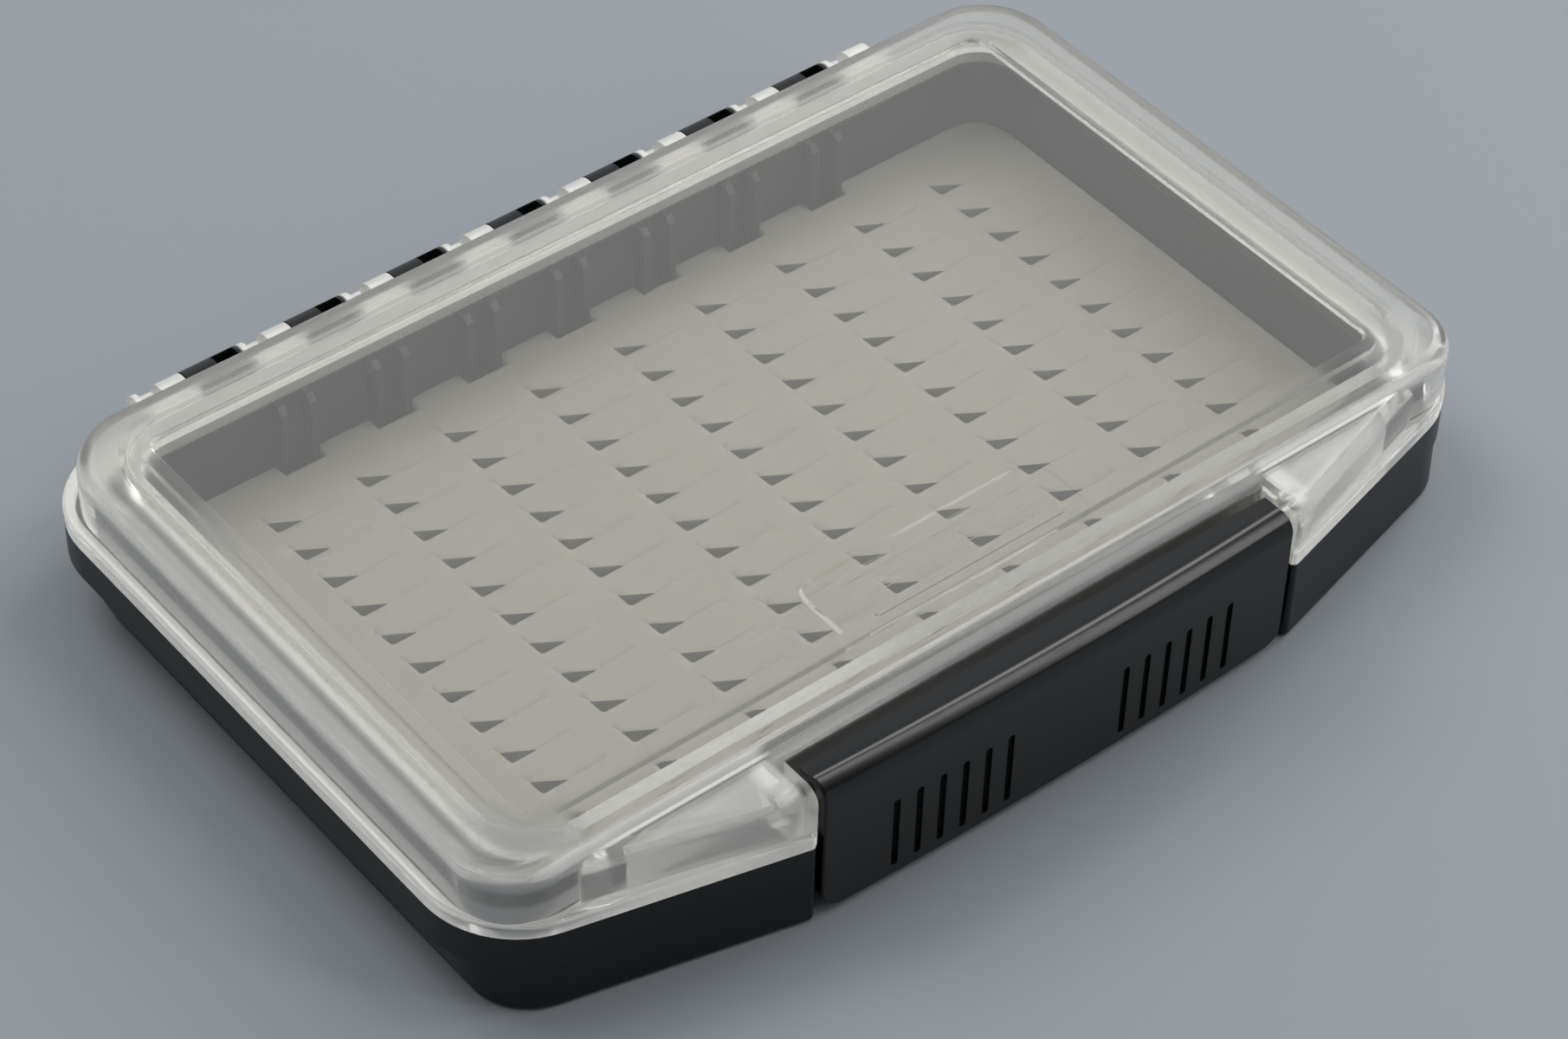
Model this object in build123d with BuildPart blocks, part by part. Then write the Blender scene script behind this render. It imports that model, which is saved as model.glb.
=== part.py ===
from build123d import *

import math
import os

# Slim hinged case for fishing flies: a black tray with a slit silicone pad, a clear lid
# that turns on a pin along the back, and a black bar latch hung from the front of the lid.
# Millimetres. X runs along the case, the latch faces -Y, the hinge lies at +Y, Z is up.
# The origin is under the middle of the closed case, on the surface it rests on.

# Closed case
length = 155.0
depth = 111.2
height = 22.5
seam = 12.6
seam_gap = 0.1

# How far ribs, lips, webs and wings run into the wall they grow from
root = 1.0

# Plan outline shared by the tray rim and the lid flange
back_radius = 12.3
corner_radius = 13.2
bay_width = 74.2
bay_depth = 6.8
tip_setback = 0.9
tip_radius = 0.7
wing_setback = 10.1

# Hinge along the back
knuckle_radius = 2.3
knuckle_reach = 3.8
knuckle_pitch = 15.85
hinge_end_margin = 17.0
tray_knuckle_length = 8.2
knuckle_side_gap = 0.25
web_drop = 0.4
hinge_pin_radius = 1.0
hinge_pin_recess = 0.3
pin_end_chamfer = 0.2
press_clearance = 0.02
running_clearance = 0.07
tray_window_length = 3.2
tray_window_depth = 3.2
tray_window_side = 0.5
lid_window_length = 2.8
lid_window_depth = 4.2
lid_window_side = 0.8
knuckle_window_corner = 0.4

# Tray
rim_band = 5.0
rim_thickness = 2.0
skirt_wall = 2.2
side_step = 0.5
side_draft = 2.5
lower_corner_radius = 8.0
corner_flare = 5.5
foot_edge = 0.8
floor_thickness = 2.0
well_radius = 6.0
neck_wall = 2.5
neck_side_gap = 2.8
neck_front_gap = 1.1
neck_back_gap = 2.5
rib_pitch = 14.05
rib_end_margin = 46.0
rib_spacing = 4.2
rib_offset = -2.7
rib_thickness = 1.1
rib_reach = 2.05
rib_chamfer = 0.9
catch_end_gap = 5.5
catch_reach = 2.7
catch_drop = 3.4
catch_height = 1.6
catch_chamfer = 0.6

# Pad, its adhesive and the seal
adhesive_thickness = 0.2
adhesive_inset = 3.0
pad_thickness = 4.7
pad_side_gap = 0.15
pad_notch_corner = 0.4
slit_column_pitch = 13.35
slit_row_pitch = 6.06
slit_column_margin = 24.0
slit_row_margin = 17.0
slit_offset_x = -1.05
slit_offset_y = -0.85
slit_depth = 3.5
slit_width = 0.25
slit_length = 7.0
side_slit_length = 1.2
wedge_length = 3.05
wedge_width = 2.0
seal_height = 1.6
seal_width = 2.1
seal_gap = 0.02

# Lid
lid_wall = 1.8
flange_thickness = 2.2
flange_edge = 0.7
dome_side_inset = 1.7
dome_back_inset = 2.9
dome_front_inset = 9.8
dome_back_radius = 10.3
dome_front_radius = 8.2
dome_edge = 2.2
shoulder_drop = 1.3
wing_inset = 0.5
wing_end_margin = 13.0
wing_end_inset = 1.5
wing_edge = 2.2
wing_hollow_end = 0.4
seal_rib_height = 2.3
seal_rib_inset = 0.3
panel_side_inset = 5.25
panel_back_inset = 4.55
panel_front_inset = 5.25
panel_radius = 8.35
panel_step = 0.5
panel_slope = 0.35
window_side_inset = 4.55
window_back_inset = 2.6
window_front_inset = 3.65
window_radius = 1.8
window_draft = 35.0
ceiling_border = 1.3
thumb_length = 38.6
thumb_depth = 10.45
thumb_radius = 4.0
thumb_rib_count = 3
thumb_rib_length = 29.3
thumb_rib_width = 1.2
thumb_rib_height = 0.2
thumb_rib_pitch = 3.2
thumb_rib_inset = 6.5
boss_radius = 1.9
boss_length = 4.4
boss_end_wall = 0.8

# Latch
latch_end_gap = 0.8
latch_back_gap = 0.25
latch_bottom = 1.1
latch_bow = 0.8
latch_plate = 2.0
latch_end_wall = 2.3
latch_end_edge = 0.8
latch_front_edge = 2.4
latch_lower_radius = 3.0
barrel_radius = 2.8
latch_pin_radius = 0.75
latch_pin_end_gap = 0.2
hook_end_gap = 3.0
hook_thickness = 1.4
hook_reach = 3.0
hook_gap = 0.2
hook_nose = 0.5
hook_slope = 1.2
groove_count = 6
groove_inner_x = 9.0
groove_pitch = 3.4
groove_width = 1.0
groove_depth = 0.7
groove_top_drop = 7.6
groove_bottom_rise = 1.3

# Places of the hinge, the rim and the latch bay
hinge_y = depth / 2 - knuckle_radius
hinge_z = seam
rim_back = hinge_y - knuckle_reach
rim_top = seam - seam_gap
band_bottom = rim_top - rim_band
tip_y = -depth / 2 + tip_setback
bay_half = bay_width / 2
bay_y = tip_y + bay_depth
wing_slope = wing_setback / (length / 2 - bay_half)

# Places of the lid's dome, recess and ceilings
dome_half = length / 2 - dome_side_inset
dome_back = rim_back - dome_back_inset
dome_front = -depth / 2 + dome_front_inset
shoulder_top = height - shoulder_drop
panel_half = dome_half - panel_side_inset
panel_back = dome_back - panel_back_inset
panel_front = dome_front + panel_front_inset
panel_floor = height - panel_step
window_half = panel_half - window_side_inset
window_back = panel_back - window_back_inset
window_front = panel_front + window_front_inset
window_floor = panel_floor - panel_step
rim_ceiling = height - lid_wall
window_ceiling = window_floor - lid_wall

# Outside and inside corners of the lid's wings
wing_end_x = length / 2 - wing_end_margin
wing_tip_y = tip_y + wing_inset
wing_end_y = tip_y + wing_slope * (wing_end_x - bay_half) + wing_end_inset
wing_run = (wing_end_y - wing_tip_y) / (wing_end_x - bay_half)
wing_inner_x = bay_half + lid_wall
wing_inner_y = wing_tip_y + wing_run * lid_wall + lid_wall * math.hypot(1, wing_run)
wing_back_y = dome_front + dome_edge + root
hollow_end_y = dome_front - wing_hollow_end
hollow_end_x = wing_inner_x + (hollow_end_y - wing_inner_y) / wing_run

# Places of the tray's well and of what lies in it and on it
well_half = dome_half - lid_wall - neck_side_gap - neck_wall
well_back = dome_back - lid_wall - neck_back_gap - neck_wall
well_front = dome_front + lid_wall + neck_front_gap + neck_wall
well_center_y = (well_front + well_back) / 2
seal_top = rim_ceiling - seal_rib_height
neck_top = seal_top - seal_height
pad_bottom = floor_thickness + adhesive_thickness
pad_top = pad_bottom + pad_thickness

# Places of the latch, its pin, its hook and the catch
latch_half = bay_half - latch_end_gap
pivot_y = bay_y - latch_back_gap - barrel_radius
pivot_z = shoulder_top - barrel_radius
catch_half = latch_half - latch_end_wall - catch_end_gap
catch_bottom = seam - catch_drop
hook_top = catch_bottom - hook_gap
groove_top = shoulder_top - groove_top_drop
groove_bottom = latch_bottom + groove_bottom_rise

# Rows of knuckles, ribs and slits, as many as fit
knuckle_count = int((length - 2 * hinge_end_margin) / knuckle_pitch)
tray_knuckles = [(i - (knuckle_count - 1) / 2) * knuckle_pitch for i in range(knuckle_count)]
lid_knuckles = [(i - knuckle_count / 2) * knuckle_pitch for i in range(knuckle_count + 1)]
lid_knuckle_length = knuckle_pitch - tray_knuckle_length - 2 * knuckle_side_gap
rib_pairs = int((2 * well_half - rib_end_margin) / rib_pitch) + 1
rib_centers = [rib_offset + (i - (rib_pairs - 1) / 2) * rib_pitch for i in range(rib_pairs)]
slit_columns = int((2 * well_half - slit_column_margin) / slit_column_pitch) + 1
slit_rows = int((well_back - well_front - slit_row_margin) / slit_row_pitch) + 1


def case_outline(z, side=0.0, radius=corner_radius):
    """Plan of the case with its two front wings; side moves the ends and the back inward."""
    half = length / 2 - side
    back = rim_back - side
    corner_y = tip_y + wing_slope * (half - bay_half)
    with BuildSketch(Plane.XY.offset(z)) as outline:
        with BuildLine():
            Polyline(
                (-half, back),
                (-half, corner_y),
                (-bay_half, tip_y),
                (-bay_half, bay_y),
                (bay_half, bay_y),
                (bay_half, tip_y),
                (half, corner_y),
                (half, back),
                close=True,
            )
        make_face()
        fillet(outline.vertices().group_by(Axis.Y)[-1], back_radius)
        for x, y, r in ((half, corner_y, radius), (bay_half, tip_y, tip_radius)):
            ends = [outline.vertices().sort_by_distance((s * x, y))[0] for s in (-1, 1)]
            fillet(ends, r)
    return outline.sketch


def rounded(z, half, front, back, radius):
    """Rounded rectangle at height z, half as long each way in X, from front to back in Y."""
    with BuildSketch(Plane.XY.offset(z)) as outline:
        with Locations((0, (front + back) / 2)):
            RectangleRounded(2 * half, back - front, radius)
    return outline.sketch


def well(z, grow=0.0):
    """Plan of the pad well, grown outward by an offset."""
    return rounded(z, well_half + grow, well_front - grow, well_back + grow, well_radius + grow)


def dome(z, grow=0.0):
    """Plan of the lid's dome, grown outward by an offset; its front corners are tighter."""
    with BuildSketch(Plane.XY.offset(z)) as outline:
        with Locations((0, (dome_front + dome_back) / 2)):
            Rectangle(2 * (dome_half + grow), dome_back - dome_front + 2 * grow)
        fillet(outline.vertices().group_by(Axis.Y)[-1], dome_back_radius + grow)
        fillet(outline.vertices().group_by(Axis.Y)[0], dome_front_radius + grow)
    return outline.sketch


def panel(z, grow=0.0):
    """Plan of the recess in the top of the lid, grown outward by an offset."""
    return rounded(
        z, panel_half + grow, panel_front - grow, panel_back + grow, panel_radius + grow
    )


def window(z, grow=0.0):
    """Plan of the polished window inside the recess, grown outward by an offset."""
    return rounded(
        z, window_half + grow, window_front - grow, window_back + grow, window_radius + grow
    )


def front_y(x):
    """Face of the latch bar, which bows gently outward between its ends."""
    return -depth / 2 + latch_bow * (x / latch_half) ** 2


# Tray: pad well and neck inside, a drafted outer skirt, hinge knuckles, catch lip
with BuildPart() as base_tray:
    extrude(case_outline(band_bottom), amount=rim_band)
    foot = case_outline(0, side_step + side_draft, lower_corner_radius)
    loft([foot, case_outline(band_bottom, side_step, lower_corner_radius + corner_flare)])
    fillet(base_tray.faces().sort_by(Axis.Z)[0].outer_wire().edges(), foot_edge)
    # Hollow under the rim, open below
    with BuildSketch():
        add(foot)
        offset(amount=-skirt_wall, kind=Kind.INTERSECTION)
    extrude(amount=rim_top - rim_thickness, mode=Mode.SUBTRACT)
    # Well: floor and the neck that rises past the seam into the lid
    extrude(well(0, neck_wall), amount=neck_top)
    extrude(well(floor_thickness), amount=neck_top, mode=Mode.SUBTRACT)
    # Divider channels on the back wall of the well
    with BuildSketch(Plane.XY.offset(floor_thickness)):
        for center in rib_centers:
            with Locations(
                (center - rib_spacing / 2, well_back), (center + rib_spacing / 2, well_back)
            ):
                Rectangle(rib_thickness, 2 * rib_reach)
    extrude(amount=neck_top - floor_thickness)
    neck_face = base_tray.faces().filter_by(Axis.Z).sort_by(Axis.Z)[-1]
    rib_tops = (
        neck_face.edges()
        .filter_by(Axis.X)
        .filter_by_position(Axis.Y, well_back - rib_reach - root, well_back - root)
    )
    chamfer(rib_tops, rib_chamfer)
    # Catch lip across the latch bay
    lip_y = bay_y - catch_reach
    lip_top = catch_bottom + catch_height
    with BuildSketch(Plane.YZ):
        with BuildLine():
            Polyline(
                (bay_y + root, catch_bottom),
                (lip_y, catch_bottom),
                (lip_y, lip_top - catch_chamfer),
                (lip_y + catch_chamfer, lip_top),
                (bay_y + root, lip_top),
                close=True,
            )
        make_face()
    extrude(amount=catch_half, both=True)
    # Hinge knuckles, each with a web under the seam and a window over the pin
    for x in tray_knuckles:
        with BuildSketch(Plane.YZ.offset(x - tray_knuckle_length / 2)):
            with Locations((hinge_y, hinge_z)):
                Circle(knuckle_radius)
            with BuildLine():
                Polyline(
                    (rim_back - root, rim_top),
                    (hinge_y, rim_top),
                    (hinge_y, hinge_z - knuckle_radius),
                    (hinge_y - root, hinge_z - knuckle_radius),
                    (rim_back - root, band_bottom + web_drop),
                    close=True,
                )
            make_face()
        extrude(amount=tray_knuckle_length)
        opening_x = x + (tray_knuckle_length - tray_window_length) / 2 - tray_window_side
        with BuildSketch(Plane.XY.offset(hinge_z)):
            with Locations((opening_x, hinge_y)):
                RectangleRounded(tray_window_length, tray_window_depth, knuckle_window_corner)
        extrude(amount=2 * knuckle_radius, mode=Mode.SUBTRACT)
    with BuildSketch(Plane.YZ):
        with Locations((hinge_y, hinge_z)):
            Circle(hinge_pin_radius + press_clearance)
    extrude(amount=length / 2, both=True, mode=Mode.SUBTRACT)
    base_tray.part.label = "base_tray"

# Outside of the lid's two front wings and of the shoulder between them
with BuildPart() as lid_front:
    with BuildSketch(Plane.XY.offset(seam)):
        with BuildLine():
            Polyline(
                (-wing_end_x, wing_back_y),
                (-wing_end_x, wing_end_y),
                (-bay_half, wing_tip_y),
                (-bay_half, bay_y),
                (bay_half, bay_y),
                (bay_half, wing_tip_y),
                (wing_end_x, wing_end_y),
                (wing_end_x, wing_back_y),
                close=True,
            )
        make_face()
    extrude(amount=shoulder_top - seam)
    wing_tops = [
        lid_front.edges().sort_by_distance((s * x, y, shoulder_top))[0]
        for s in (-1, 1)
        for x, y in (
            ((bay_half + wing_end_x) / 2, (wing_tip_y + wing_end_y) / 2),
            (wing_end_x, (wing_end_y + wing_back_y) / 2),
        )
    ]
    fillet(wing_tops, wing_edge)

# Clear lid: flange, dome, wings, stepped top, seal rib, knuckles and pin bosses
with BuildPart() as lid:
    extrude(case_outline(seam), amount=flange_thickness)
    fillet(lid.faces().sort_by(Axis.Z)[-1].outer_wire().edges(), flange_edge)
    extrude(dome(seam), amount=height - seam)
    fillet(lid.faces().sort_by(Axis.Z)[-1].outer_wire().edges(), dome_edge)
    add(lid_front.part)
    # Inside of the dome, with a lower ceiling under the window
    extrude(dome(seam, -lid_wall), amount=window_ceiling - seam, mode=Mode.SUBTRACT)
    with BuildSketch(Plane.XY.offset(window_ceiling)):
        add(dome(window_ceiling, -lid_wall))
        add(window(window_ceiling, ceiling_border), mode=Mode.SUBTRACT)
    extrude(amount=rim_ceiling - window_ceiling, mode=Mode.SUBTRACT)
    # Hollow in each wing, as thick-walled as the dome
    with BuildSketch(Plane.XY.offset(seam)):
        with BuildLine():
            Polyline(
                (wing_inner_x, dome_front),
                (wing_inner_x, wing_inner_y),
                (hollow_end_x, hollow_end_y),
                (hollow_end_x, dome_front),
                close=True,
            )
        make_face()
        mirror(about=Plane.YZ)
    extrude(amount=shoulder_top - lid_wall - seam, mode=Mode.SUBTRACT)
    # Seal rib that presses on the neck of the tray
    with BuildSketch(Plane.XY.offset(seal_top)):
        add(well(seal_top, neck_wall - seal_rib_inset))
        add(well(seal_top, seal_rib_inset), mode=Mode.SUBTRACT)
    extrude(amount=seal_rib_height + seal_rib_inset)
    # Stepped recess in the top and the polished window inside it
    loft([panel(height), panel(panel_floor, -panel_slope)], mode=Mode.SUBTRACT)
    with BuildSketch(Plane.XY.offset(panel_floor)):
        add(window(panel_floor))
        with Locations((0, window_front)):
            RectangleRounded(thumb_length, 2 * thumb_depth, thumb_radius, mode=Mode.SUBTRACT)
    extrude(amount=-panel_step, taper=window_draft, mode=Mode.SUBTRACT)
    # Thumb ribs
    with BuildSketch(Plane.XY.offset(panel_floor - thumb_rib_height)):
        for i in range(thumb_rib_count):
            with Locations((0, window_front + thumb_rib_inset - i * thumb_rib_pitch)):
                SlotOverall(thumb_rib_length, thumb_rib_width)
    extrude(amount=2 * thumb_rib_height)
    # Bosses for the latch pin, inside the wings
    for s in (-1, 1):
        with BuildSketch(Plane.YZ.offset(s * bay_half)):
            with Locations((pivot_y, pivot_z)):
                Circle(boss_radius)
        extrude(amount=s * boss_length)
    with BuildSketch(Plane.YZ):
        with Locations((pivot_y, pivot_z)):
            Circle(latch_pin_radius + press_clearance)
    extrude(amount=bay_half + boss_length - boss_end_wall, both=True, mode=Mode.SUBTRACT)
    # Hinge knuckles with arms to the flange, cut back over the pin at the left
    for x in lid_knuckles:
        with BuildSketch(Plane.YZ.offset(x - lid_knuckle_length / 2)):
            with Locations((hinge_y, hinge_z)):
                Circle(knuckle_radius)
            with BuildLine():
                Polyline(
                    (rim_back - root, seam),
                    (hinge_y, seam),
                    (hinge_y, hinge_z + knuckle_radius),
                    (hinge_y - root, hinge_z + knuckle_radius),
                    (rim_back - root, seam + flange_thickness - seam_gap),
                    close=True,
                )
            make_face()
        extrude(amount=lid_knuckle_length)
        opening_x = x - (lid_knuckle_length - lid_window_length) / 2 + lid_window_side
        with BuildSketch(Plane.XY.offset(hinge_z)):
            with Locations((opening_x, hinge_y + root)):
                RectangleRounded(lid_window_length, lid_window_depth, knuckle_window_corner)
        extrude(amount=2 * knuckle_radius, mode=Mode.SUBTRACT)
    with BuildSketch(Plane.YZ):
        with Locations((hinge_y, hinge_z)):
            Circle(hinge_pin_radius + running_clearance)
    extrude(amount=length / 2, both=True, mode=Mode.SUBTRACT)
    lid.part.label = "lid"

# Latch bar: bowed front, barrel round the pin, hook behind, grip grooves below
with BuildPart() as latch_bar:
    back_y = pivot_y + barrel_radius
    plate_y = front_y(latch_half) + latch_plate
    with BuildSketch(Plane.XY.offset(latch_bottom)):
        with BuildLine():
            ThreePointArc(
                (-latch_half, front_y(latch_half)),
                (0, front_y(0)),
                (latch_half, front_y(latch_half)),
            )
            Polyline(
                (latch_half, front_y(latch_half)),
                (latch_half, back_y),
                (-latch_half, back_y),
                (-latch_half, front_y(latch_half)),
            )
        make_face()
    extrude(amount=shoulder_top - latch_bottom)
    fillet(
        latch_bar.faces().sort_by(Axis.Z)[-1].edges().sort_by(Axis.Y)[0], latch_front_edge
    )
    end_edges = [
        edge
        for face in latch_bar.faces().filter_by(Axis.X)
        for edge in face.edges()
        if edge.center().Y < back_y - root and edge.center().Z > latch_bottom + root
    ]
    fillet(end_edges, latch_end_edge)
    # Rounded lower corners
    with BuildSketch(Plane.XZ) as face_plan:
        with Locations((0, latch_bottom)):
            Rectangle(2 * latch_half, height, align=(Align.CENTER, Align.MIN))
        fillet(face_plan.vertices().group_by(Axis.Y)[0], latch_lower_radius)
    extrude(amount=depth, both=True, mode=Mode.INTERSECT)
    # Back and underside of the barrel, and the space behind the plate
    with BuildSketch(Plane.YZ):
        with Locations((pivot_y, pivot_z)):
            Rectangle(3 * barrel_radius, 3 * barrel_radius, align=(Align.MIN, Align.MIN))
            Rectangle(3 * barrel_radius, pivot_z, align=(Align.MIN, Align.MAX))
            Circle(barrel_radius, mode=Mode.SUBTRACT)
    extrude(amount=latch_half, both=True, mode=Mode.SUBTRACT)
    with BuildSketch(Plane.YZ):
        with Locations((plate_y, pivot_z)):
            Rectangle(4 * barrel_radius, pivot_z, align=(Align.MIN, Align.MAX))
        with Locations((pivot_y, pivot_z)):
            Circle(barrel_radius, mode=Mode.SUBTRACT)
    extrude(amount=latch_half - latch_end_wall, both=True, mode=Mode.SUBTRACT)
    # Hook that catches under the lip of the tray
    hook_y = plate_y + hook_reach
    with BuildSketch(Plane.YZ):
        with BuildLine():
            Polyline(
                (plate_y - root, hook_top),
                (hook_y, hook_top),
                (hook_y, hook_top - hook_nose),
                (hook_y - hook_slope, hook_top - hook_thickness),
                (plate_y - root, hook_top - hook_thickness - hook_slope),
                close=True,
            )
        make_face()
    extrude(amount=catch_half - hook_end_gap, both=True)
    # Grip grooves in two groups, running down towards the lower edge
    for i in range(groove_count):
        x = groove_inner_x + i * groove_pitch
        groove_z = (groove_top + groove_bottom) / 2
        with BuildSketch(Plane.XZ.offset(-front_y(x) - groove_depth)):
            with Locations((-x, groove_z), (x, groove_z)):
                SlotOverall(groove_top - groove_bottom, groove_width, rotation=90)
        extrude(amount=groove_depth + latch_bow, mode=Mode.SUBTRACT)
    with BuildSketch(Plane.YZ):
        with Locations((pivot_y, pivot_z)):
            Circle(latch_pin_radius + running_clearance)
    extrude(amount=latch_half, both=True, mode=Mode.SUBTRACT)
    latch_bar.part.label = "latch_bar"

# Silicone pad with its L-shaped slits, each opened to a small wedge at the corner
with BuildPart() as slit_pad:
    extrude(well(pad_bottom, -pad_side_gap), amount=pad_thickness)
    with BuildSketch(Plane.XY.offset(pad_bottom)):
        with Locations(*[(x, well_back) for x in rib_centers]):
            RectangleRounded(
                rib_spacing + rib_thickness + 2 * pad_side_gap,
                2 * (rib_reach + pad_side_gap),
                pad_notch_corner,
            )
    extrude(amount=pad_thickness, mode=Mode.SUBTRACT)
    with BuildSketch(Plane.XY.offset(pad_top)):
        with Locations((slit_offset_x, well_center_y + slit_offset_y)):
            with GridLocations(slit_column_pitch, slit_row_pitch, slit_columns, slit_rows):
                Polygon((0, 0), (wedge_length, 0), (-slit_width / 2, wedge_width), align=None)
                with Locations((wedge_length - 2 * slit_width, 0)):
                    Rectangle(slit_length, slit_width, align=(Align.MIN, Align.MIN))
                with Locations((0, wedge_width - slit_width)):
                    Rectangle(slit_width, side_slit_length, align=(Align.MAX, Align.MIN))
    extrude(amount=-slit_depth, mode=Mode.SUBTRACT)
    slit_pad.part.label = "slit_pad"

# Adhesive sheet under the pad
with BuildPart() as pad_adhesive:
    extrude(well(floor_thickness, -adhesive_inset), amount=adhesive_thickness)
    pad_adhesive.part.label = "pad_adhesive"

# Seal ring clamped between the neck of the tray and the rib of the lid
with BuildPart() as seal_ring:
    seal_inner = (neck_wall - seal_width) / 2
    with BuildSketch(Plane.XY.offset(neck_top)):
        add(well(neck_top, seal_inner + seal_width))
        add(well(neck_top, seal_inner), mode=Mode.SUBTRACT)
    extrude(amount=seal_height - seal_gap)
    seal_ring.part.label = "seal_ring"

# Steel pins
with BuildPart() as hinge_pin:
    with BuildSketch(Plane.YZ):
        with Locations((hinge_y, hinge_z)):
            Circle(hinge_pin_radius)
    extrude(amount=lid_knuckles[-1] + lid_knuckle_length / 2 - hinge_pin_recess, both=True)
    chamfer(hinge_pin.edges(), pin_end_chamfer)
    hinge_pin.part.label = "hinge_pin"

with BuildPart() as latch_pin:
    with BuildSketch(Plane.YZ):
        with Locations((pivot_y, pivot_z)):
            Circle(latch_pin_radius)
    extrude(amount=bay_half + boss_length - boss_end_wall - latch_pin_end_gap, both=True)
    chamfer(latch_pin.edges(), pin_end_chamfer)
    latch_pin.part.label = "latch_pin"

os.makedirs("parts", exist_ok=True)
pieces = (
    base_tray,
    lid,
    latch_bar,
    slit_pad,
    pad_adhesive,
    seal_ring,
    hinge_pin,
    latch_pin,
)
for piece in pieces:
    export_step(piece.part, f"parts/{piece.part.label}.step")
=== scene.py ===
import math
import random

import bmesh
import bpy
from mathutils import Matrix, Vector
from mathutils.geometry import delaunay_2d_cdt


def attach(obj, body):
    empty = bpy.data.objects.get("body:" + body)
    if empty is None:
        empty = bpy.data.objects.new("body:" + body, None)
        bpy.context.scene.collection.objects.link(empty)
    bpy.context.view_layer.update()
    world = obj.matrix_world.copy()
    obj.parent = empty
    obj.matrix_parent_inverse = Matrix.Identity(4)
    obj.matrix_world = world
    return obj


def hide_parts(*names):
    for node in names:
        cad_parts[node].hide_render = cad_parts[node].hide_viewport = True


# Slim fly box on a pale grey floor, seen from the front left and above. Metres, with the
# case's own frame: X along it, the latch at -Y, the hinge at +Y, Z up. Sizes written in
# millimetres are turned to metres by MM. Materials work in millimetres, at rest.

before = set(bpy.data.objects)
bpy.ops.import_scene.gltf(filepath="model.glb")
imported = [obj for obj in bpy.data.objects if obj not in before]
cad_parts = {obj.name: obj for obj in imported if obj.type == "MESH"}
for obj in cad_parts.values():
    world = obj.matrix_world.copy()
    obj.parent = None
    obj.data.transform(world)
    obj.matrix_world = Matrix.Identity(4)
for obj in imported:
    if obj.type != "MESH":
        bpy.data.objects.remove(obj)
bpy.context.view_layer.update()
MM = 0.001


# ---- node helpers


def node(tree, kind, inputs=None, **props):
    """Adds a shader node; inputs maps socket names or numbers to values or other sockets."""
    made = tree.nodes.new("ShaderNode" + kind)
    for key, value in props.items():
        setattr(made, key, value)
    for key, value in (inputs or {}).items():
        if isinstance(value, bpy.types.NodeSocket):
            tree.links.new(value, made.inputs[key])
        else:
            made.inputs[key].default_value = value
    return made


def calc(tree, operation, a, b=0.0, clamp=False):
    return node(tree, "Math", {0: a, 1: b}, operation=operation, use_clamp=clamp).outputs[0]


def times(tree, first, *others):
    """Product of numbers."""
    for other in others:
        first = calc(tree, "MULTIPLY", first, other)
    return first


def most(tree, first, *others):
    """Largest of numbers."""
    for other in others:
        first = calc(tree, "MAXIMUM", first, other)
    return first


def vector(tree, operation, a, b=(0.0, 0.0, 0.0)):
    return node(tree, "VectorMath", {0: a, 1: b}, operation=operation).outputs[0]


def ramp(tree, value, low, high, out_low=0.0, out_high=1.0):
    """Smooth step from out_low to out_high as value goes from low to high."""
    made = node(
        tree,
        "MapRange",
        {"Value": value, "From Min": low, "From Max": high, "To Min": out_low, "To Max": out_high},
        interpolation_type="SMOOTHSTEP",
    )
    return made.outputs["Result"]


def mix(tree, factor, a, b):
    """Mix of two colours."""
    made = node(tree, "Mix", {0: factor, 6: a, 7: b}, data_type="RGBA")
    return made.outputs[2]


def blend_value(tree, factor, a, b):
    """Mix of two numbers."""
    return node(tree, "Mix", {0: factor, 2: a, 3: b}, data_type="FLOAT").outputs[0]


def position(tree):
    """Place on the piece at rest, in millimetres of the case's frame."""
    coord = node(tree, "TexCoord").outputs["Object"]
    made = node(tree, "VectorMath", {0: coord, "Scale": 1000.0}, operation="SCALE")
    return made.outputs[0]


def parts(tree, coord):
    return node(tree, "SeparateXYZ", {0: coord}).outputs


def noise(tree, coord, scale, detail=3.0, roughness=0.5, stretch=None):
    """Noise with scale cells per millimetre, stretched where the axes say."""
    if stretch:
        coord = vector(tree, "MULTIPLY", coord, stretch)
    made = node(
        tree,
        "TexNoise",
        {"Vector": coord, "Scale": scale, "Detail": detail, "Roughness": roughness},
    )
    return made.outputs["Fac"]


def bump(tree, height, distance, strength=1.0, normal=None):
    inputs = {"Height": height, "Distance": distance, "Strength": strength}
    if normal:
        inputs["Normal"] = normal
    return node(tree, "Bump", inputs).outputs[0]


def rounded_distance(tree, coord, half, front, back, radius):
    """Signed distance in plan to a rounded rectangle, in millimetres, negative inside."""
    centred = vector(tree, "SUBTRACT", coord, (0, (front + back) / 2, 0))
    folded = vector(tree, "ABSOLUTE", centred)
    inner = (half - radius, (back - front) / 2 - radius, 0)
    past = vector(tree, "SUBTRACT", folded, inner)
    past = vector(tree, "MULTIPLY", past, (1, 1, 0))
    outside = node(
        tree, "VectorMath", {0: vector(tree, "MAXIMUM", past)}, operation="LENGTH"
    ).outputs["Value"]
    x, y, _ = parts(tree, past)
    inside = calc(tree, "MINIMUM", calc(tree, "MAXIMUM", x, y), 0.0)
    return calc(tree, "SUBTRACT", calc(tree, "ADD", outside, inside), radius)


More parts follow.
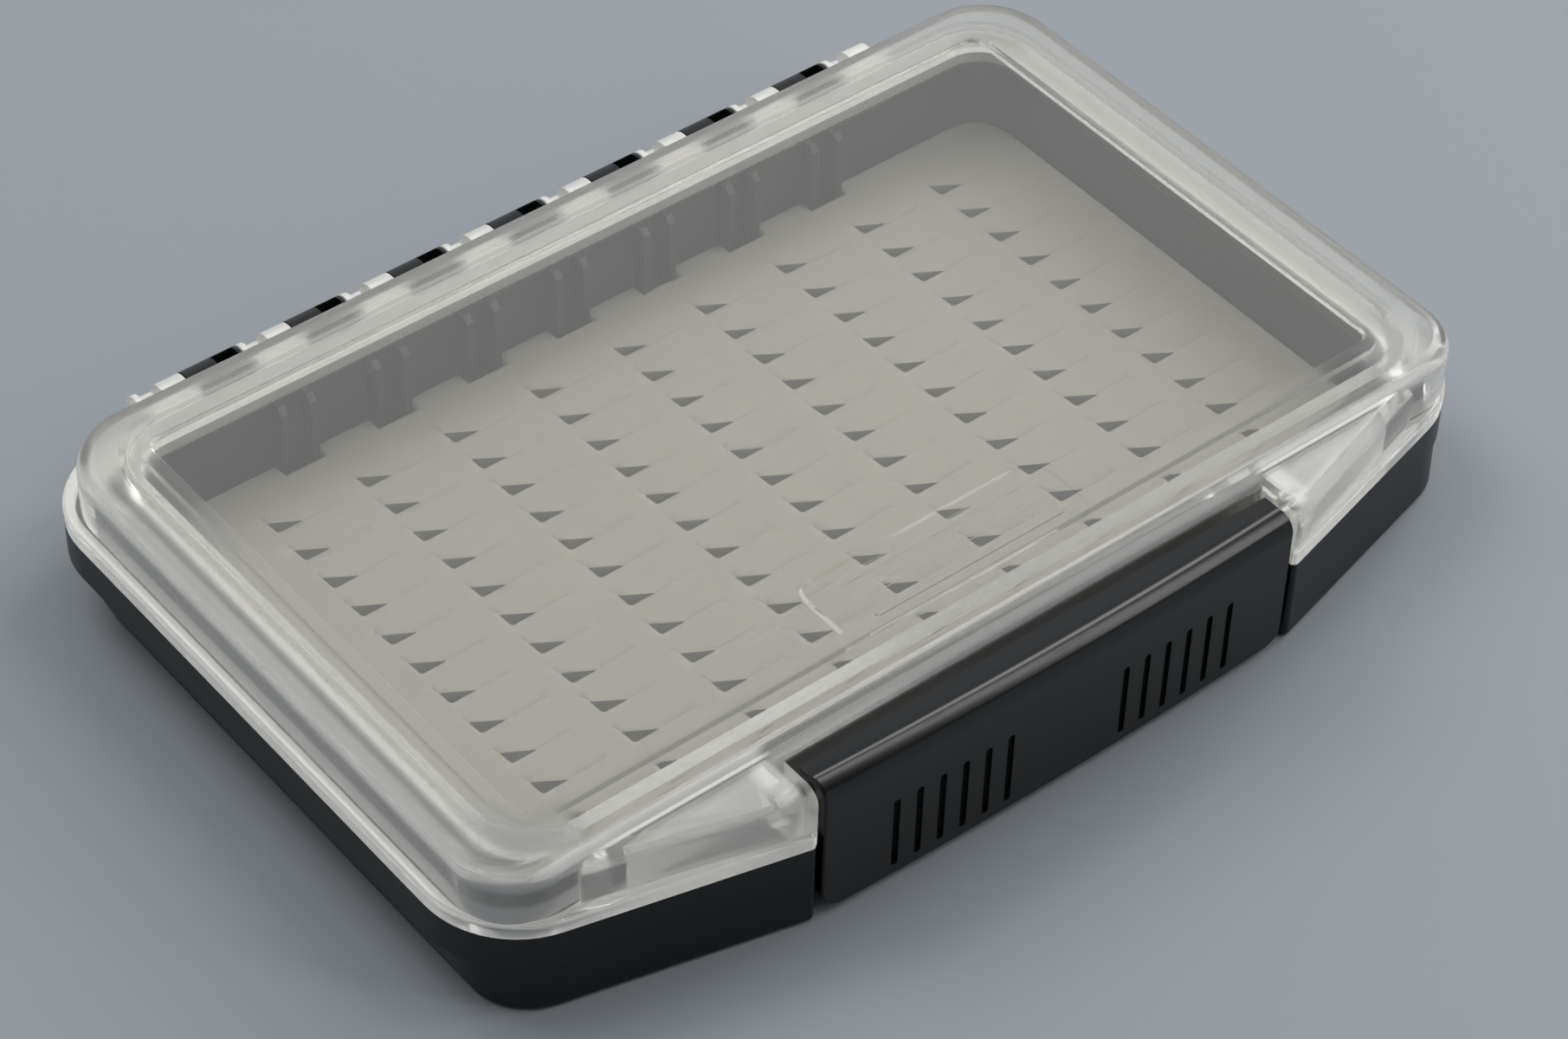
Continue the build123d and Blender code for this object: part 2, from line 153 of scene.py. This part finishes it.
def material(name):
    made = bpy.data.materials.new(name)
    made.use_nodes = True
    tree = made.node_tree
    tree.nodes.clear()
    shader = node(tree, "BsdfPrincipled")
    output = node(tree, "OutputMaterial", {"Surface": shader.outputs[0]})
    return made, tree, shader, output


def plug(tree, shader, **sockets):
    """Sets or links a shader's sockets; underscores in the names stand for spaces."""
    for key, value in sockets.items():
        socket = shader.inputs[key.replace("_", " ")]
        if isinstance(value, bpy.types.NodeSocket):
            tree.links.new(value, socket)
        else:
            socket.default_value = value


# ---- materials

SOFT_EDGE = 0.25


def turned(tree, normal, source, target):
    """Normal taken from one space to another, OBJECT or WORLD."""
    return node(
        tree,
        "VectorTransform",
        {0: normal},
        vector_type="NORMAL",
        convert_from=source,
        convert_to=target,
    ).outputs[0]


# The latch's front edge: how far it bows back at its ends, and the middle of its round
LATCH_HALF = 36.3
LATCH_BOW = 0.8
EDGE_MIDDLE_Y = -51.5
EDGE_MIDDLE_Z = 18.8


def latch_normal(tree, normal):
    """Normal of the latch's softly rounded front edge, worked out from the place on it."""
    x, y, z = parts(tree, position(tree))
    bow = times(tree, calc(tree, "POWER", calc(tree, "DIVIDE", x, LATCH_HALF), 2.0), LATCH_BOW)
    across = calc(tree, "SUBTRACT", y, calc(tree, "ADD", bow, EDGE_MIDDLE_Y))
    across = calc(tree, "MINIMUM", across, 0.0)
    above = most(tree, calc(tree, "SUBTRACT", z, EDGE_MIDDLE_Z), 0.0)
    made = node(tree, "CombineXYZ", {0: 0.0, 1: across, 2: above}).outputs[0]
    made = vector(tree, "NORMALIZE", turned(tree, made, "OBJECT", "WORLD"))
    true = node(tree, "NewGeometry").outputs["Normal"]
    near = node(tree, "VectorMath", {0: true, 1: made}, operation="DOT_PRODUCT").outputs["Value"]
    near = ramp(tree, near, 0.6, 0.75)
    mixed = node(tree, "Mix", {0: near, 4: normal, 5: made}, data_type="VECTOR").outputs[1]
    return vector(tree, "NORMALIZE", mixed)


def black_plastic(name, dark, light, smooth, rough, grain, latch=False):
    """Moulded black plastic: faint mottling, fine grain, hairline scratches, soft edges."""
    made, tree, shader, _ = material(name)
    coord = position(tree)
    mottle = noise(tree, coord, 0.09, 4.0, 0.6)
    fine = noise(tree, coord, 2.0, 2.0, 0.5)
    scratch = ramp(tree, noise(tree, coord, 2.5, 2.0, 0.6, (0.05, 1.0, 1.6)), 0.66, 0.74)
    uneven = blend_value(tree, mottle, smooth, rough)
    rounded = node(tree, "Bevel", {"Radius": SOFT_EDGE * MM}, samples=4).outputs[0]
    if latch:
        rounded = latch_normal(tree, rounded)
    plug(
        tree,
        shader,
        Base_Color=mix(tree, mottle, dark, light),
        Roughness=blend_value(tree, scratch, uneven, rough + 0.06),
        IOR=1.5,
        Specular_IOR_Level=0.5 if latch else 0.4,
        Normal=bump(tree, fine, grain, normal=rounded),
    )
    return made


# Plan outlines on the lid: half length, front, back and corner radius
PANEL = (70.55, -40.55, 42.05, 8.35)
WINDOW = (66.0, -36.9, 39.45, 1.8)
DOME = (75.8, -45.8, 46.6, 9.2)
# Places of faces that the lid's masks start from
DOME_FRONT = -45.8
BAY_HALF = 37.1
KNUCKLES = 48.9
FLANGE_TOP = 15.0
SHOULDER = 21.2
RECESS = 22.0


class LidPlace:
    """Where a point of the lid lies, how far it is from each outline, and slow and fine noise."""

    def __init__(self, tree):
        self.coord = position(tree)
        self.x, self.y, self.z = parts(tree, self.coord)
        self.side = calc(tree, "ABSOLUTE", self.x)
        self.panel = rounded_distance(tree, self.coord, *PANEL)
        self.window = rounded_distance(tree, self.coord, *WINDOW)
        self.dome = rounded_distance(tree, self.coord, *DOME)
        self.cloud = noise(tree, self.coord, 0.12, 4.0, 0.6)
        self.fine = noise(tree, self.coord, 4.0, 2.0, 0.5)


def lid_frost(tree, at, wings, dimmed_corner):
    """How frosted the lid is, from 0, polished, to 1."""
    # A strip round the recess is polished at the left and in front
    far = most(tree, ramp(tree, at.x, 45.0, 66.0), ramp(tree, at.y, 36.5, 41.5))
    strip = times(tree, ramp(tree, at.panel, 0.0, 0.1), far, 0.6)
    rim = most(tree, ramp(tree, at.panel, 0.85, 1.0), strip)
    # The rim in front of the recess is nearly clear
    clear = ramp(tree, at.side, 58.0, 70.0, 0.25, 0.5)
    clear = most(tree, clear, ramp(tree, at.y, DOME_FRONT + 1.9, DOME_FRONT + 2.5, 0.5, 0.0))
    rim = times(tree, rim, blend_value(tree, ramp(tree, at.y, -42.0, -37.5), clear, 1.0))
    # So is the front of the border between the recess's step and the window
    border = times(
        tree,
        ramp(tree, at.panel, -0.5, -0.35, 1.0, 0.0),
        ramp(tree, at.window, -0.25, 0.0),
        ramp(tree, at.y, -38.5, -35.5, 0.45, 1.0),
    )
    top = ramp(tree, at.z, SHOULDER, SHOULDER + 0.4)
    # Sides and wings are only lightly hazed
    shell = ramp(tree, at.dome, -0.9, -0.7, 0.0, 0.45)
    frost = times(tree, most(tree, rim, border), most(tree, top, shell))
    frost = most(tree, frost, times(tree, wings, 0.5))
    # The front corners of the strip are hazed too, and less so its left side
    left = times(
        tree,
        ramp(tree, at.x, -70.0, -67.0, 1.0, 0.0),
        ramp(tree, at.panel, 1.6, 2.4, 1.0, 0.0),
        0.6,
    )
    corner = times(tree, most(tree, dimmed_corner, left), ramp(tree, at.z, 19.5, 20.0), 0.8)
    return most(tree, frost, corner)


def lid_painted_glow(tree, at, upright):
    """Painted glow: milky whiteness put at upright faces, edges and steps, where light runs inside
    the plastic and shows.
    """
    outer = times(tree, upright, ramp(tree, at.dome, -1.4, -1.0))
    # Painted bands on the dome's side walls stand in for its inner steps showing through
    band = calc(tree, "ABSOLUTE", calc(tree, "SUBTRACT", at.z, 18.6))
    band = blend_value(
        tree,
        at.cloud,
        ramp(tree, band, 0.5, 1.5, 0.1, 0.4),
        ramp(tree, band, 0.8, 1.8, 0.2, 0.5),
    )
    band = calc(tree, "ADD", band, ramp(tree, at.x, -74.0, -70.0, 0.15, 0.0))
    wing = blend_value(tree, ramp(tree, at.y, DOME_FRONT - 0.8, DOME_FRONT - 0.1), 0.3, band)
    low = times(
        tree,
        ramp(tree, at.z, FLANGE_TOP - 0.4, FLANGE_TOP + 0.1, 1.0, 0.0),
        ramp(tree, at.dome, 0.4, 0.8),
    )
    # The wall behind the latch stays clear and so looks dark
    behind = times(
        tree,
        ramp(tree, at.y, DOME_FRONT - 1.7, DOME_FRONT - 1.2, 1.0, 0.0),
        ramp(tree, at.side, BAY_HALF - 0.5, BAY_HALF - 0.2, 1.0, 0.0),
    )
    outer = times(tree, outer, calc(tree, "SUBTRACT", 1.0, behind))
    walls = times(tree, outer, blend_value(tree, low, wing, 0.5))
    # Painted glow along the flange edge and the lip of the recess
    flange = times(
        tree,
        ramp(tree, at.z, FLANGE_TOP - 0.1, FLANGE_TOP + 0.05, 1.0, 0.0),
        ramp(tree, at.dome, 0.1, 0.4),
        ramp(tree, at.y, DOME_FRONT - 1.2, DOME_FRONT + 1.8, 0.25, 0.5),
    )
    lip = calc(tree, "ABSOLUTE", calc(tree, "ADD", at.panel, 0.15))
    lip = times(
        tree,
        ramp(tree, lip, 0.1, 0.22, 1.0, 0.0),
        ramp(tree, at.z, RECESS - 0.04, RECESS + 0.1),
        ramp(tree, at.y, -10.0, 42.0, 0.35, 0.65),
    )
    # Painted glow on the knuckles and on the shoulder in front of the dome
    knuckles = ramp(tree, at.y, KNUCKLES, KNUCKLES + 0.4, 0.0, 0.4)
    shoulder = times(
        tree,
        ramp(tree, at.y, DOME_FRONT - 0.4, DOME_FRONT + 0.1, 1.0, 0.0),
        ramp(tree, at.z, SHOULDER - 0.6, SHOULDER - 0.2),
        ramp(tree, at.y, DOME_FRONT - 2.2, DOME_FRONT - 0.6, 0.2, 1.0),
        ramp(tree, at.side, BAY_HALF + 0.5, BAY_HALF + 1.3, 0.22, 0.16),
    )
    # Painted glow makes the dome's front edge creamy above the wings
    front_glow = times(
        tree,
        ramp(tree, at.y, DOME_FRONT + 0.6, DOME_FRONT + 1.2, 1.0, 0.0),
        ramp(tree, at.y, DOME_FRONT - 0.5, DOME_FRONT - 0.2),
        ramp(tree, at.z, SHOULDER - 0.3, SHOULDER - 0.1),
        ramp(tree, at.side, BAY_HALF - 0.1, BAY_HALF + 2.4, 0.2, 0.7),
    )
    return most(tree, walls, flange, lip, knuckles, shoulder, front_glow)


def lid_plastic():
    """Clear moulded plastic: frosted rim and border, polished slope, window and wings."""
    made, tree, shader, output = material("lid_clear")
    at = LidPlace(tree)
    wings = times(
        tree,
        ramp(tree, at.y, DOME_FRONT - 0.8, DOME_FRONT - 0.4, 1.0, 0.0),
        ramp(tree, at.z, FLANGE_TOP - 0.1, FLANGE_TOP + 0.2),
        ramp(tree, at.side, BAY_HALF + 0.9, BAY_HALF + 1.9),
    )
    # Front corners of the strip: frosted, and greyed as painted shade that dims the light there
    dimmed_corner = times(
        tree,
        ramp(tree, at.side, 59.0, 63.0),
        ramp(tree, at.y, -36.0, -30.0, 1.0, 0.0),
        ramp(tree, at.window, -0.25, 0.3),
        ramp(tree, at.panel, 3.4, 4.6, 1.0, 0.0),
    )
    facing = node(tree, "NewGeometry").outputs["Normal"]
    upright = parts(tree, turned(tree, facing, "WORLD", "OBJECT"))[2]
    upright = ramp(tree, calc(tree, "ABSOLUTE", upright), 0.35, 0.85, 1.0, 0.0)
    # Small steps: the sides of the thumb rest and its ribs, and the step of the recess
    small = times(
        tree,
        ramp(tree, at.window, -0.1, 0.05, 1.0, 0.0),
        ramp(tree, at.z, RECESS - 0.6, RECESS - 0.5),
        upright,
    )
    step = times(
        tree,
        ramp(tree, at.panel, -0.4, -0.33),
        ramp(tree, at.panel, -0.02, 0.03, 1.0, 0.0),
        ramp(tree, at.z, RECESS - 0.04, RECESS + 0.02),
    )
    frost = lid_frost(tree, at, wings, dimmed_corner)
    hair = noise(tree, at.coord, 0.35, 2.0, 0.7, (0.25, 1.0, 1.0))
    scratch = times(tree, ramp(tree, hair, 0.71, 0.73), ramp(tree, at.fine, 0.5, 0.62), 0.12)
    # Milkiness: real haze of the frosted plastic and its scratches, plus painted glow on the wings
    # by the latch bay, on walls, edges and knuckles, and on the small steps
    haze_and_glow = most(
        tree,
        times(tree, frost, blend_value(tree, at.cloud, 0.02, 0.07)),
        times(tree, wings, ramp(tree, at.side, BAY_HALF + 2.9, BAY_HALF + 5.9, 0.4, 0.0)),
        times(tree, wings, 0.16),
        lid_painted_glow(tree, at, upright),
        times(tree, small, ramp(tree, at.z, RECESS + 0.01, RECESS + 0.03, 0.12, 0.4)),
        scratch,
        0.025,
    )
    # The small steps have softened edges, so they shade almost as the flat face does
    steps = most(tree, small, step)
    up = turned(tree, (0, 0, 1), "OBJECT", "WORLD")
    flat = node(tree, "Mix", {0: steps, 4: facing, 5: up}, data_type="VECTOR").outputs[1]
    # The grey is painted shade on the front corners
    pale, grey = (0.96, 0.95, 0.92, 1.0), (0.84, 0.84, 0.82, 1.0)
    plug(
        tree,
        shader,
        Normal=vector(tree, "NORMALIZE", flat),
        Base_Color=mix(tree, dimmed_corner, pale, grey),
        Roughness=calc(tree, "ADD", times(tree, frost, 0.31), 0.03),
        IOR=1.5,
        Transmission_Weight=calc(tree, "SUBTRACT", 0.985, haze_and_glow),
    )
    # Light passes straight through to what lies inside
    through = node(tree, "BsdfTransparent", {"Color": (0.9, 0.905, 0.895, 1.0)})
    shadow = node(tree, "LightPath").outputs["Is Shadow Ray"]
    both = node(tree, "MixShader", {0: shadow, 1: shader.outputs[0], 2: through.outputs[0]})
    tree.links.new(both.outputs[0], output.inputs["Surface"])
    return made


def rubber(name, dark, light, rough, grain):
    """Soft matt material: mottled colour and fine grain."""
    made, tree, shader, _ = material(name)
    coord = position(tree)
    mottle = noise(tree, coord, 0.25, 5.0, 0.65)
    fine = noise(tree, coord, 3.0, 3.0, 0.6)
    plug(
        tree,
        shader,
        Base_Color=mix(tree, mottle, dark, light),
        Roughness=rough,
        Normal=bump(tree, fine, grain),
    )
    return made


def steel(name):
    """Drawn steel rod, with its drawing lines along X."""
    made, tree, shader, _ = material(name)
    coord = position(tree)
    drawn = noise(tree, coord, 3.0, 3.0, 0.6, (0.05, 1.0, 1.0))
    plug(
        tree,
        shader,
        Base_Color=mix(tree, drawn, (0.14, 0.14, 0.145, 1), (0.2, 0.2, 0.2, 1)),
        Metallic=1.0,
        Roughness=0.25,
        Normal=bump(tree, drawn, 2e-6),
    )
    return made


looks = {
    "base_tray": black_plastic(
        "tray_black",
        dark=(0.0035, 0.0045, 0.005, 1),
        light=(0.0055, 0.0065, 0.007, 1),
        smooth=0.3,
        rough=0.4,
        grain=3e-7,
    ),
    "latch_bar": black_plastic(
        "latch_black",
        dark=(0.004, 0.0045, 0.005, 1),
        light=(0.006, 0.0065, 0.007, 1),
        smooth=0.15,
        rough=0.2,
        grain=3e-7,
        latch=True,
    ),
    "lid": lid_plastic(),
    "pad_adhesive": rubber("adhesive_film", (0.5, 0.5, 0.46, 1), (0.6, 0.6, 0.55, 1), 0.6, 5e-6),
    "seal_ring": rubber("seal_silicone", (0.3, 0.3, 0.29, 1), (0.38, 0.38, 0.37, 1), 0.5, 1e-6),
    "hinge_pin": steel("hinge_steel"),
    "latch_pin": steel("latch_steel"),
}
for name, look in looks.items():
    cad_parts[name].material_slots[0].material = look


# ---- slit pad


def pad_silicone(name, dark, light, speckle):
    """Warm grey silicone: soft mottling, fine grain and a few pale specks."""
    made, tree, shader, _ = material(name)
    coord = position(tree)
    broad = noise(tree, coord, 0.09, 3.0, 0.6)
    mottle = noise(tree, coord, 0.9, 5.0, 0.75)
    speck = ramp(tree, noise(tree, coord, 2.6, 2.0, 0.5), 0.66, 0.76)
    colour = mix(tree, blend_value(tree, 0.4, mottle, broad), dark, light)
    colour = mix(tree, calc(tree, "MULTIPLY", speck, speckle), colour, (0.5, 0.48, 0.43, 1))
    fine = noise(tree, coord, 3.5, 3.0, 0.6)
    plug(
        tree,
        shader,
        Base_Color=colour,
        Roughness=blend_value(tree, broad, 0.6, 0.8),
        IOR=1.42,
        Normal=bump(tree, fine, 1.2e-5),
    )
    return made


PAD_TOP = 6.9
PAD_BOTTOM = 2.2
PAD_HALF = 68.55
PAD_FRONT = -40.25
PAD_BACK = 39.65
PAD_CORNER = 5.85
CORNER_STEPS = 16
PAD_EDGE = 0.5
CUT_DEPTH = 3.5
SLIT_LIP = 0.05
SLIT_STEPS = 7
COLUMN_PITCH = 13.35
ROW_PITCH = 6.06
COLUMNS = 9
ROWS = 11
FIRST_CUT = (-1.05 - 4 * COLUMN_PITCH, -1.15 - 5 * ROW_PITCH)
NOTCH_PITCH = 14.05
NOTCHES = [-2.7 + (i - 3) * NOTCH_PITCH for i in range(7)]
NOTCH_HALF = 2.8
NOTCH_DEPTH = 2.2
MESH_STEP = 1.3
MESH_JITTER = 0.25
MESH_HALF, MESH_FRONT, MESH_BACK = 68.0, -39.7, 39.0


def pad_outline(inset):
    """Plan of the pad, with a notch at the back round each pair of divider ribs."""
    half, radius = PAD_HALF - inset, PAD_CORNER - inset
    front, back = PAD_FRONT + inset, PAD_BACK - inset
    points = []
    corners = ((1, 1, 0), (-1, 1, 90), (-1, -1, 180), (1, -1, 270))
    for sx, sy, start in corners:
        cx = sx * (half - radius)
        cy = back - radius if sy > 0 else front + radius
        for i in range(CORNER_STEPS + 1):
            a = math.radians(start + 90 * i / CORNER_STEPS)
            points.append((cx + radius * math.cos(a), cy + radius * math.sin(a)))
        if (sx, sy) == (1, 1):
            for x in reversed(NOTCHES):
                wide = NOTCH_HALF + inset
                for px, py in ((wide, 0), (wide, -NOTCH_DEPTH), (-wide, -NOTCH_DEPTH), (-wide, 0)):
                    points.append((x + px, back + py))
    return points


def wedge(x, y, opening):
    """Open corner of an L-shaped cut: a small triangle with its right angle rounded."""
    points = ((0.32, -0.05), (3.5, -0.02), (3.6, 0.03), (-0.12, opening), (-0.2, opening - 0.03))
    points += ((-0.06, 0.32), (0.06, 0.1))
    return [(x + px, y + py) for px, py in points]


def closed_slit(points):
    """Three rows of points along a closed cut: its low middle and its two lips."""
    low, left, right = [], [], []
    for (x0, y0), (x1, y1) in zip(points, points[1:]):
        length = math.hypot(x1 - x0, y1 - y0)
        nx, ny = -(y1 - y0) / length * SLIT_LIP, (x1 - x0) / length * SLIT_LIP
        low.append((x0, y0))
        left.append((x0 + nx, y0 + ny))
        right.append((x0 - nx, y0 - ny))
    return low, left, right


def pad_plan():
    """Triangulated plan of the pad with its wedges and closed slits."""
    rng = random.Random(4)
    loops = [pad_outline(0.0)]
    lines = []
    cuts = []
    for row in range(ROWS):
        for column in range(COLUMNS):
            x = FIRST_CUT[0] + column * COLUMN_PITCH
            y = FIRST_CUT[1] + row * ROW_PITCH
            opening = rng.uniform(2.1, 2.4)
            bend = rng.uniform(-0.1, 0.35)
            cuts.append((x, y, rng.uniform(0.0, 0.015)))
            loops.append(wedge(x, y, opening))
            reach = rng.uniform(5.6, 6.6)
            path = []
            for i in range(SLIT_STEPS + 1):
                lift = bend * (i / SLIT_STEPS) ** 2
                path.append((x + 3.9 + reach * i / SLIT_STEPS, y + 0.05 + lift))
            lines.append(closed_slit(path))
            path = [(x - 0.22 - 0.1 * i, y + opening + 0.3 + 0.35 * i) for i in range(4)]
            lines.append(closed_slit(path))
    coords = []
    edges = []
    for loop in loops + [pad_outline(PAD_EDGE)]:
        first = len(coords)
        coords += [Vector(p) for p in loop]
        edges += [(first + i, first + (i + 1) % len(loop)) for i in range(len(loop))]
    low = set()
    for line in lines:
        for number, path in enumerate(line):
            first = len(coords)
            coords += [Vector(p) for p in path]
            edges += [(first + i, first + i + 1) for i in range(len(path) - 1)]
            if number == 0:
                low.update(range(first, first + len(path)))
    nx, ny = int(2 * MESH_HALF / MESH_STEP), int((MESH_BACK - MESH_FRONT) / MESH_STEP)
    for i in range(nx + 1):
        for j in range(ny + 1):
            x = -MESH_HALF + 2 * MESH_HALF * i / nx + rng.uniform(-MESH_JITTER, MESH_JITTER)
            y = MESH_FRONT + (MESH_BACK - MESH_FRONT) * j / ny
            y += rng.uniform(-MESH_JITTER, MESH_JITTER)
            coords.append(Vector((x, y)))
    verts, _, faces, origins, _, _ = delaunay_2d_cdt(coords, edges, [], 0, 1e-4)
    fixed = {}
    sunk = set()
    for new, olds in enumerate(origins):
        for old in olds:
            fixed[old] = new
            if old in low:
                sunk.add(new)
    return verts, faces, fixed, sunk, loops, cuts


def inside(point, loop):
    """True where the point lies inside the closed loop."""
    x, y = point
    hit = False
    for (x0, y0), (x1, y1) in zip(loop, loop[1:] + loop[:1]):
        if (y0 > y) != (y1 > y) and x < (x1 - x0) * (y - y0) / (y1 - y0) + x0:
            hit = not hit
    return hit


def make_pad():
    """The silicone pad: a flat top with sunk slits, open wedges, a soft edge and a floor."""
    verts, faces, fixed, sunk, loops, cuts = pad_plan()
    outer = loops[0]
    holes = loops[1:]
    boxes = [
        (min(p[0] for p in h), max(p[0] for p in h), min(p[1] for p in h), max(p[1] for p in h))
        for h in holes
    ]
    mesh = bmesh.new()

    made = []
    outline = {fixed[i] for i in range(len(outer))}
    for index, (x, y) in enumerate(verts):
        z = PAD_TOP
        for cx, cy, lift in cuts:
            along = 1 - abs(x - cx - 1.2) / 6.0
            away = 1 - (y - cy) / 4.0
            if along > 0 and 0 < away <= 1.005:
                z += lift * along * away
        if index in outline:
            z -= PAD_EDGE
        if index in sunk:
            z -= SLIT_LIP
        made.append(mesh.verts.new((x * MM, y * MM, z * MM)))
    for face in faces:
        cx = sum(verts[i][0] for i in face) / len(face)
        cy = sum(verts[i][1] for i in face) / len(face)
        if not inside((cx, cy), outer):
            continue
        if any(
            b[0] <= cx <= b[1] and b[2] <= cy <= b[3] and inside((cx, cy), h)
            for b, h in zip(boxes, holes)
        ):
            continue
        mesh.faces.new([made[i] for i in face])
    first = 0
    for number, loop in enumerate(loops):
        count = len(loop)
        ring = [made[fixed[first + i]] for i in range(count)]
        first += count
        floor_z = PAD_BOTTOM if number == 0 else PAD_TOP - CUT_DEPTH
        low = [mesh.verts.new((v.co.x, v.co.y, floor_z * MM)) for v in ring]
        for i in range(count):
            k = (i + 1) % count
            if ring[i] is ring[k]:
                continue
            mesh.faces.new((ring[i], ring[k], low[k], low[i])).material_index = min(number, 1)
        mesh.faces.new(low).material_index = min(number, 1)
    loose = [v for v in mesh.verts if not v.link_faces]
    bmesh.ops.delete(mesh, geom=loose, context="VERTS")
    bmesh.ops.recalc_face_normals(mesh, faces=mesh.faces)
    for face in mesh.faces:
        face.smooth = abs(face.normal.z) > 0.4
    data = bpy.data.meshes.new("silicone_pad")
    mesh.to_mesh(data)
    mesh.free()
    made_object = bpy.data.objects.new("silicone_pad", data)
    bpy.context.scene.collection.objects.link(made_object)
    pale, shade = (0.25, 0.238, 0.21, 1), (0.31, 0.297, 0.264, 1)
    data.materials.append(pad_silicone("pad_silicone", pale, shade, 0.4))
    # The wedges' walls and floors take a slightly darker copy of the silicone, without specks:
    # painted shade in the cuts
    pale, shade = (0.24, 0.235, 0.212, 1), (0.28, 0.274, 0.25, 1)
    data.materials.append(pad_silicone("pad_cut_shaded", pale, shade, 0.0))
    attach(made_object, "base")
    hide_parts("slit_pad")


make_pad()

# ---- floor, world and lamps

FLOOR_REACH = 4.0

floor_mesh = bpy.data.meshes.new("floor")
floor_signs = ((-1, -1), (1, -1), (1, 1), (-1, 1))
floor_corners = [(x * FLOOR_REACH, y * FLOOR_REACH, 0) for x, y in floor_signs]
floor_mesh.from_pydata(floor_corners, [], [(0, 1, 2, 3)])
floor = bpy.data.objects.new("floor", floor_mesh)
bpy.context.scene.collection.objects.link(floor)
floor_look, tree, shader, _ = material("floor_grey")
grain = noise(tree, position(tree), 0.004, 2.0, 0.5)
plug(
    tree,
    shader,
    Base_Color=mix(tree, grain, (0.295, 0.321, 0.345, 1), (0.31, 0.337, 0.362, 1)),
    Roughness=0.7,
)
floor_mesh.materials.append(floor_look)

world = bpy.data.worlds.new("studio")
bpy.context.scene.world = world
world.use_nodes = True
world.node_tree.nodes.clear()
tree = world.node_tree
# Soft room light, brighter overhead and behind the case
toward = node(tree, "TexCoord").outputs["Generated"]
lift = node(tree, "VectorMath", {0: toward, 1: (0.35, 0.60, 0.72)}, operation="DOT_PRODUCT")
level = ramp(tree, lift.outputs["Value"], -0.35, 1.0, 0.09, 0.68)
sky = node(tree, "Background", {"Color": (0.95, 0.975, 1.0, 1), "Strength": level})
node(tree, "OutputWorld", {"Surface": sky.outputs[0]})


def softbox(name, place, aim, width, depth, radiance):
    """Area lamp of the given size that faces aim, with an even radiance."""
    light = bpy.data.lights.new(name, "AREA")
    light.shape = "RECTANGLE"
    light.size = width
    light.size_y = depth
    light.energy = radiance * math.pi * width * depth
    lamp = bpy.data.objects.new(name, light)
    bpy.context.scene.collection.objects.link(lamp)
    lamp.location = place
    direction = Vector(aim) - Vector(place)
    lamp.rotation_mode = "QUATERNION"
    lamp.rotation_quaternion = direction.to_track_quat("-Z", "Y")


# Name, place, aim, width, depth and radiance of each lamp
lamps = (
    ("key", (0.92, 0.14, 0.60), (0, 0, 0), 0.6, 0.5, 4.7),
    ("back", (-0.20, 0.60, 0.75), (0, 0, 0), 0.55, 0.5, 2.9),
    ("front", (0.45, -0.34, 0.75), (0, -0.05, 0), 0.16, 0.3, 5.5),
    ("strip", (0.46, -0.70, 0.44), (0, -0.05, 0), 0.14, 0.74, 3.7),
)
for lamp_values in lamps:
    softbox(*lamp_values)

# ---- camera at the photograph's viewing angle

camera_data = bpy.data.cameras.new("camera")
camera_data.lens = 100.65
camera_data.sensor_width = 36.0
camera_data.clip_start = 0.02
camera_data.clip_end = 20.0
camera = bpy.data.objects.new("camera", camera_data)
bpy.context.scene.collection.objects.link(camera)
right = Vector((0.779017, -0.626560, 0.023557))
down = Vector((-0.422696, -0.552554, -0.718340))
ahead = Vector((0.463100, 0.549642, -0.695293))
turn = Matrix((right, -down, -ahead)).transposed()
camera.matrix_world = Matrix.Translation((-0.254631, -0.304720, 0.384677)) @ turn.to_4x4()
bpy.context.scene.camera = camera

bpy.context.scene.view_settings.view_transform = "Standard"
